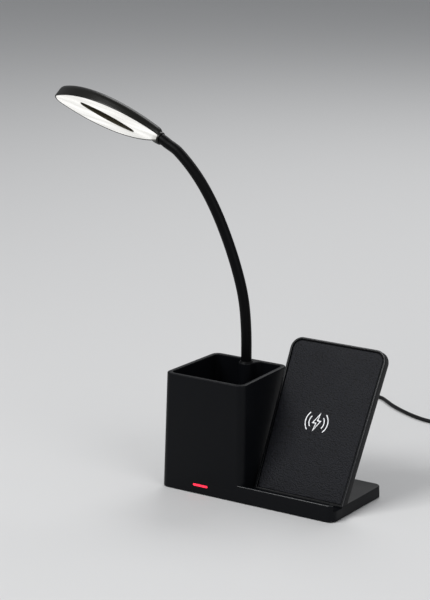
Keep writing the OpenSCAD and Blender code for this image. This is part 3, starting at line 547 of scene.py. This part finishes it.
bm = bmesh.new()
deckSteps = ((0.8, 0), (2, 0), (9.2, 0), (9.55, 0.08), (9.82, 0.26), (9.95, 0.5), (10, 0.8))
loft(bm, [ringAt(deckPlan(z, i), z) for z, i in deckSteps])
loft(bm, [ringAt(frontPlan(z, True), z) for z in (0.8, 2, 4, base["ledge"])])
loft(bm, [ringAt(frontPlan(z, False), z) for z in (base["ledge"], 9.5, 10)])
finish(newObject("baseBlock", bm, matHousing, 30), "base")


# front lip: eased along its top, inner face straight down to the ledge
def lipPlan(z, inset):
    side, lean = drawnIn(z)
    front, back = -halfD + lean + inset, base["lipT"] - halfD - inset
    x0, x1, r = cupRight - base["r"], halfW - side - inset, base["r"] - inset
    turn = min(90, degrees(acos(max(-1, min(1, (r - (back - front)) / r)))))
    return [(x0, front)] + arc(x1 - r, front + r, r, -90, turn) + [(x0, back)]


bm = bmesh.new()
lipSteps = ((base["ledge"], 0), (10, 0), (13.5, 0),
            (13.85, 0.07), (14.12, 0.25), (14.25, 0.48), (14.3, 0.75))
lipRings = [ringAt(lipPlan(z, i), z) for z, i in lipSteps]
faces = loft(bm, lipRings)
around = len(lipRings[0])
# the lip's eased top edge gets the painted highlight colour
for f in faces[3 * around:6 * around]:
    f.material_index = 1  # the eased edge catches the light
finish(newObject("frontLip", bm, [matHousing, matHighlightEdge], 30), "base")
print("base and cup done")

# red indicator bar on the front
bar = {"x": -43.5, "z": 7.5, "w": 14.5, "h": 2.1}
barY = drawnIn(bar["z"])[1] - halfD
bm = bmesh.new()
easedPrism(bm, slotPlan(bar["w"], bar["h"]), -0.05, 1.5, 0.25,
           lambda x, y, z: v(bar["x"] + x, barY + z, bar["z"] + y))
finish(newObject("indicator", bm, matRed), "base", ("indicator_lens",))

# phone stand: s runs up its slope, y into it
stand = {"x": 41, "y": -25.2, "z": 10, "tilt": 29.5, "l": 130, "low": 83, "top": 89.3, "t": 8,
         "sink": 0.7, "r": 10, "faceLow": 1.6}
tiltMatrix = Matrix.Rotation(radians(-stand["tilt"]), 3, "X")


def inStand(x, y, s):
    return (tiltMatrix @ Vector((x, y, s)) + Vector((stand["x"], stand["y"], stand["z"]))) * mm


def standHalf(s):
    return (stand["low"] + (stand["top"] - stand["low"]) * s / stand["l"]) / 2


def standPlan(inset, low, seg=10):
    r = max(stand["r"] - inset, 0.5)
    top = stand["l"] - inset
    hwTop, hwLow = standHalf(stand["l"]) - inset, standHalf(low) - inset
    lean = atan2(hwTop - hwLow, top - low)
    cx = hwTop - r * tan(lean) - r / cos(lean)
    pts = [(-hwLow, low), (hwLow, low)]
    for side, a0, a1 in ((1, -lean, pi / 2), (-1, pi / 2, pi + lean)):
        angles = [lerp(a0, a1, k / seg) for k in range(seg + 1)]
        pts += [(side * cx + r * cos(a), top - r + r * sin(a)) for a in angles]
    return pts


def standRing(inset, low, y):
    return [inStand(x, y, s) for x, s in standPlan(inset, low)]


# how far up the slope a depth meets the deck
def footLow(y):
    return y * tan(radians(stand["tilt"]))


back = stand["t"]
shellSteps = ((2, 1.45), (0, 1.45), (0, back - 1.6), (0.2, back - 0.9), (0.62, back - 0.35),
              (1.3, back - 0.05), (2.1, back))
bm = bmesh.new()
loft(bm, [standRing(i, footLow(y) + 0.02, y) for i, y in shellSteps])
finish(newObject("standShell", bm, matHousing, 30), "base", ("stand_shell",))

# frame: eased edge painted bright as a highlight, narrow flat, then a step down to the face
frameSteps = ((0, 1.38), (0, 0.75), (0.06, 0.42), (0.24, 0.16), (0.5, 0.03),
              (0.75, 0), (1.75, 0), (1.98, 0.08), (2.1, 0.3), (2.15, 1.38))
turnIn = 0.6  # from this inset the foot of the frame turns in under the face
frameRings = [standRing(i, footLow(y) + 0.03 if i < turnIn else 0.05 + (i - turnIn) * 0.95, y)
              for i, y in frameSteps]
bm = bmesh.new()
faces = loft(bm, frameRings, capStart=False, capEnd=False)
around = len(frameRings[0])
# the frame's eased edge gets the painted highlight colour
for f in faces[2 * around:5 * around]:
    f.material_index = 1
finish(newObject("standFrame", bm, [matFrame, matHighlightEdge], 40), "base", ("stand_frame",))

bm = bmesh.new()
loft(bm, [standRing(i, stand["faceLow"] + j, y) for y, i, j in
          ((2.6, 2.45, 0.1), (1.3, 2.5, 0.15), (0.95, 2.6, 0.25), (0.76, 2.85, 0.5), (0.7, 3.2, 0.85))])
finish(newObject("standFace", bm, matFace, 40), "base", ("stand_face",))

# root of the stand behind: its back is hollowed to a quarter round
bm = bmesh.new()
backY = stand["y"] + stand["t"] / cos(radians(stand["tilt"]))
half, run, low = stand["low"] / 2 - 7, 9, 0.02
r = run * cos(radians(stand["tilt"])) * 1.02
hollow = [(backY + run + r * cos(a), max(run + r * sin(a), low))
          for a in [lerp(-pi / 2, -pi, k / 12) for k in range(13)]]
hollow = [(y, z) for y, z in hollow if z < run * 0.98]
profile = [(backY - 3, low), (hollow[0][0], low)] + hollow + [(backY + 2, run * 0.95)]
loft(bm, [[v(stand["x"] + x, y, stand["z"] + z) for y, z in profile] for x in (-half, half)])
finish(newObject("standRoot", bm, matHousing, 30), "base")
print("stand done")

# charging mark: a bolt between two pairs of arcs, in a thin printed line
mark = {"x": -2.0, "s": 62.9, "y": stand["sink"] - 0.03, "line": 0.82}
bm = bmesh.new()


def stroke(points, width, closed=False):
    n = len(points)
    left, right = [], []
    for i, p in enumerate(points):
        a = points[i - 1] if (i or closed) else p
        b = points[(i + 1) % n] if (i < n - 1 or closed) else p
        d1 = Vector((p[0] - a[0], p[1] - a[1]))
        d2 = Vector((b[0] - p[0], b[1] - p[1]))
        d1 = d1.normalized() if d1.length > 1e-9 else d2.normalized()
        d2 = d2.normalized() if d2.length > 1e-9 else d1
        mid = (d1 + d2).normalized()
        across = Vector((-mid.y, mid.x))
        bend = max(0.35, abs(across.dot(Vector((-d1.y, d1.x)))))
        w = width / 2 / bend
        left.append((p[0] + across.x * w, p[1] + across.y * w))
        right.append((p[0] - across.x * w, p[1] - across.y * w))
    for i in range(n if closed else n - 1):
        j = (i + 1) % n
        quad = [left[i], left[j], right[j], right[i]]
        bm.faces.new([bm.verts.new(inStand(mark["x"] + x, mark["y"], mark["s"] + y)) for x, y in quad])


bolt = [(1.6, 7.2), (-3.4, -0.9), (-0.4, -0.9), (-1.6, -7.2), (3.4, 1.3), (0.5, 1.3)]
stroke(bolt, mark["line"], True)
for side in (-1, 1):
    for r, reach in ((6.9, 39), (10.3, 45)):
        angles = [radians(lerp(-reach, reach, k / 14)) for k in range(15)]
        stroke([(side * r * cos(a), r * sin(a)) for a in angles], mark["line"])
finish(newObject("chargeMark", bm, matMark, 0), "base")

# gooseneck: one skin for each joint, from the middle of one stretch to the middle of the next;
# the two ends of each skin are found, listed from the far body back for those in fromFar, but not used
neck = {"r": 4.4, "bends": [5.5, 11, 5.5, 5, 8, 11, 11.5], "l": 27, "root": 14,
        "elbow": 8, "elbowBend": 20.5, "sag": 1.65, "sagRun": 14, "give": 8, "fromFar": [6]}
joint = len(neck["bends"])


# point and lean a distance s along an arc
def arcAt(place, lean, bend, length, s):
    r = length / radians(bend)
    a0, a1 = radians(lean), radians(lean + bend * s / length)
    return place + Vector((r * (cos(a1) - cos(a0)), 0, r * (sin(a1) - sin(a0)))), degrees(a1)


joints = [Vector((neckX, neckY, base["cupH"] + neck["root"]))]
leans = [0]
for b in neck["bends"]:
    p, a = arcAt(joints[-1], leans[-1], b, neck["l"], neck["l"])
    joints.append(p)
    leans.append(a)
headStart, headLean = arcAt(joints[-1], leans[-1], neck["elbowBend"], neck["elbow"], neck["elbow"])


# i is the stretch that starts at joint i; -1 is the root
def neckPoint(i, s):
    if i < 0:
        return Vector((neckX, neckY, base["cupH"] + s)), 0
    if i == joint:
        return arcAt(joints[i], leans[i], neck["elbowBend"], neck["elbow"], s)
    return arcAt(joints[i], leans[i], neck["bends"][i], neck["l"], s)


# across the neck, away from where it leans to
def acrossNeck(lean):
    return Vector((cos(radians(lean)), 0, sin(radians(lean))))


# the sleeve hangs a little lower than the hinges just before the head
def sag(i, s):
    before = 0 if i == joint else neck["l"] - s if i == joint - 1 else neck["sagRun"]
    near = max(0, 1 - before / neck["sagRun"])
    return neck["sag"] * near * near * (3 - 2 * near)


def neckRing(p, lean, sides=40):
    angles = [2 * pi * k / sides for k in range(sides)]
    e1, e2, r = acrossNeck(lean), Vector((0, 1, 0)), neck["r"]
    return [(p + r * (cos(a) * e1 + sin(a) * e2)) * mm for a in angles]


def sleevePoint(i, s):
    p, lean = neckPoint(i, s)
    return p - sag(i, s) * acrossNeck(lean), lean


bodies = ["base"] + ["neck_%d" % i for i in range(1, joint + 1)] + ["head"]
for j in range(joint + 1):
    bm = bmesh.new()
    runIn = (-3, neck["root"]) if j == 0 else (neck["l"] / 2, neck["l"])
    runOut = neck["elbow"] - 0.1 if j == joint else neck["l"] / 2
    path = [sleevePoint(j - 1, lerp(*runIn, k / 8)) for k in range(9)]
    path += [sleevePoint(j, lerp(0, runOut, k / 8)) for k in range(1, 9)]
    loft(bm, [neckRing(p, lean) for p, lean in path])
    skin = newObject("neckSkin%d" % (j + 1), bm, matNeck, 60)
    start, _ = neckPoint(j - 1, runIn[1] - neck["give"])
    end, _ = neckPoint(j, neck["give"])
    ends = [(bodies[j], start * mm), (bodies[j + 1], end * mm)]
    if j in neck["fromFar"]:
        ends.reverse()
    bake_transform(skin)
    if j == 0:
        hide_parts("neck_root")
    if j < joint:
        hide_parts("neck_link_%d" % (j + 1))
    else:
        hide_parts("head_elbow")
print("neck done")

head = {"l": 110.4, "w": 44.4, "t": 11, "tip": 7, "crown": 6.4, "rim": 1.3, "roll": 45, "taper": 3.2,
        "slotL": 51, "slotW": 9.6, "slotTurn": 17, "slotTip": 2, "stemRise": 1.2}
headTurn = (Matrix.Rotation(radians(180), 3, "Z") @ Matrix.Rotation(radians(headLean - 90), 3, "Y")
            @ Matrix.Rotation(radians(head["roll"]), 3, "X"))
stemX = head["rim"] - head["l"] / 2
headOrigin = headStart + headTurn @ Vector((-stemX, 0, -head["stemRise"]))


def inHead(x, y, z):
    return (headTurn @ Vector((x, y, z)) + headOrigin) * mm


# leaf outline: n points on each long arc and m round each tip, at the same places for every inset
def leafLine(a, b, t, n=40, m=12):
    r = ((a - t) ** 2 + b * b - t * t) / (2 * (b - t))
    turn = acos((a - t) / (r - t))
    pts = []
    # the arcs' centres, radii and angles
    for cx, cy, radius, a0, a1, count in (
            (0, b - r, r, turn, pi - turn, n), (t - a, 0, t, pi - turn, pi + turn, m),
            (0, r - b, r, pi + turn, 2 * pi - turn, n), (a - t, 0, t, -turn, turn, m)):
        steps = [k / (n - 1) for k in range(n)] if count == n else [k / m for k in range(1, m)]
        angles = [lerp(a0, a1, u) for u in steps]
        pts += [(cx + radius * cos(a), cy + radius * sin(a)) for a in angles]
    return pts


def headLeaf(inset):
    return leafLine(head["l"] / 2 - inset, head["w"] / 2 - inset, head["tip"] - inset)


def slotLeaf(out):
    c, s = cos(radians(head["slotTurn"])), sin(radians(head["slotTurn"]))
    line = leafLine(head["slotL"] / 2 + out, head["slotW"] / 2 + out, head["slotTip"] + out)
    return [(x * c - y * s, x * s + y * c) for x, y in line]


def headRing(points, z):
    return [inHead(x, y, z) for x, y in points]


def leafRings(steps):
    return [headRing(headLeaf(inset), z) for inset, z in steps]


def slotRings(steps):
    return [headRing(slotLeaf(out), z) for out, z in steps]


# the back slopes down to the neck: its rings are tilted, and the slot's end follows its surface
slope = radians(head["taper"])


def backRing(points, z):
    c, s = cos(slope), sin(slope)
    return [inHead(x * c - z * s, y, x * s + z * c) for x, y in points]


def slotEnds(steps):
    return [[inHead(x, y, (head["t"] + dz) / cos(slope) + x * tan(slope)) for x, y in slotLeaf(out)]
            for out, dz in steps]


bm = bmesh.new()
rings = leafRings(((1.1, 1.2), (1.1, 0.3), (0.95, 0.06), (0.75, 0),
                   (0.3, 0), (0.08, 0.1), (0, 0.32), (0, 1.0)))
for a in [pi / 2 * k / 12 for k in range(13)]:
    inset, drop = head["crown"] * (1 - cos(a)), head["crown"] * (1 - sin(a))
    rings.append(backRing(headLeaf(inset), head["t"] - drop))
rings += slotEnds(((2.2, 0), (1.7, -0.05), (1.25, -0.25), (0.98, -0.6), (0.92, -1.2)))
loft(bm, rings, capStart=False, capEnd=False)
finish(newObject("headShell", bm, matHead, 35), "head", ("head_shell", "head_rim_ring"))

# ring round the end of the neck, a half round behind the lit face, and a chin along the leaf's edge
stemR, bore = 5.4, neck["r"] + 0.01
chin = {"run": 12.5, "from": -20, "to": 100}
# the sleeve's sag as the head sees it
hung = headTurn.transposed() @ acrossNeck(headLean) * -neck["sag"]


def stemRing(x, r, low=None, share=1, sides=40):
    pts = []
    for a in [2 * pi * k / sides for k in range(sides)]:
        y, z = r * cos(a) + hung.y * share, head["stemRise"] + hung.z * share + r * sin(a)
        pts.append(inHead(stemX + x, y, z if low is None else max(z, low)))
    return pts


bm = bmesh.new()
ringSteps = ((-2.6, bore), (-2.6, stemR - 0.3), (-2.5, stemR - 0.1), (-2.25, stemR), (-0.9, stemR),
             (-0.8, stemR - 0.1), (-0.75, stemR - 0.35), (-0.75, bore), (-2.6, bore))
loft(bm, [stemRing(x, r) for x, r in ringSteps], capStart=False, capEnd=False)
bmesh.ops.remove_doubles(bm, verts=bm.verts, dist=1e-6)
behind = 0.5
loft(bm, [stemRing(-1, stemR - 0.02, behind), stemRing(5, stemR - 0.75, behind, 0),
          stemRing(11.4, stemR - 1.5, behind, 0)])


# half the leaf's width at a place along it
def leafEdge(x):
    a, b, t = head["l"] / 2, head["w"] / 2, head["tip"]
    if abs(x) > a - t:
        return sqrt(max(t * t - (abs(x) - a + t) ** 2, 0)) if abs(x) < a else 0
    r = ((a - t) ** 2 + b * b - t * t) / (2 * (b - t))
    return b - r + sqrt(r * r - x * x)


chinRings = []
for u in [k / 12 for k in range(13)]:
    x, share = stemX - 1 + chin["run"] * u, u ** 2
    edge = max(leafEdge(x), 3.5)
    ring = []
    for w in [n / 10 for n in range(11)]:
        a = radians(lerp(chin["from"], chin["to"], w))
        y = hung.y - (stemR - 0.02) * sin(a)
        z = head["stemRise"] + hung.z - (stemR - 0.02) * cos(a)
        ring.append(inHead(x, lerp(y, 0.15 - edge, share), lerp(z, 0.3 + 2 * w, share)))
    chinRings.append(ring + [inHead(x, share - edge, 2.3), inHead(x, share - edge, 0.4)])
loft(bm, chinRings)
finish(newObject("headStem", bm, matHead, 35), "head")

bm = bmesh.new()
loft(bm, slotRings(((0.9, 1.0), (0.85, 0.25), (0.6, 0.2), (0.25, 0.22), (0.02, 0.4), (0, 0.8)))
     + slotEnds(((0, -0.8), (0.1, -0.3), (0.4, -0.05), (0.85, -0.4), (0.9, -1.1))),
     capStart=False, capEnd=False)
finish(newObject("slotLiner", bm, matLinerLampLit, 40), "head", ("slot_liner",))

matGlow = glowing("litDiffuser", (0.56, 0.55, 0.52), (1.0, 0.985, 0.95), 0.72, (0.5, 0.5, 0.49),
                  headOrigin * mm, headTurn.to_euler(), (0.055, 0.007, 0.02))
bm = bmesh.new()
loft(bm, leafRings(((1.22, 1.45), (1.22, 0.25), (1.4, 0.1), (2.0, 0.06)))
     + slotRings(((1.6, 0.06), (1.1, 0.15), (1.0, 0.4), (1.0, 1.45))), capStart=False, capEnd=False)
finish(newObject("lampDiffuser", bm, matGlow, 40), "head", ("diffuser",))
print("head done")

# floor, daylight and lamps of the studio
bm = bmesh.new()
reach = 6
corners = ((-reach, -reach), (reach, -reach), (reach, reach), (-reach, reach))
loft(bm, [[Vector((x, y, z)) for x, y in corners] for z in (0, -0.02)])
matFloor, _, links, shader = newMaterial("paleFloor")
feed(links, shader, {"Base Color": (0.62, 0.62, 0.62, 1), "Roughness": 0.7})
floor = newObject("floor", bm, matFloor, 30)

scene.world = bpy.data.worlds.new("studio")
scene.world.use_nodes = True
background = scene.world.node_tree.nodes["Background"].inputs
background["Color"].default_value = (0.80, 0.82, 0.85, 1)
background["Strength"].default_value = 0.36

for name, place, size, watts in (("keyLight", (-0.7, -1.3, 1.7), (1.1, 1.1), 33),
                                 ("fillLight", (1.6, -0.6, 1.1), (1.2, 1.2), 11),
                                 ("backLight", (-0.3, 1.5, 1.5), (1.4, 0.9), 15)):
    light = bpy.data.lights.new(name, "AREA")
    light.shape = "RECTANGLE"
    light.size, light.size_y = size
    light.energy = watts
    aimed(bpy.data.objects.new(name, light), place, (0, 0, 0.1))

scene.view_settings.view_transform = "Standard"

print("scene done")
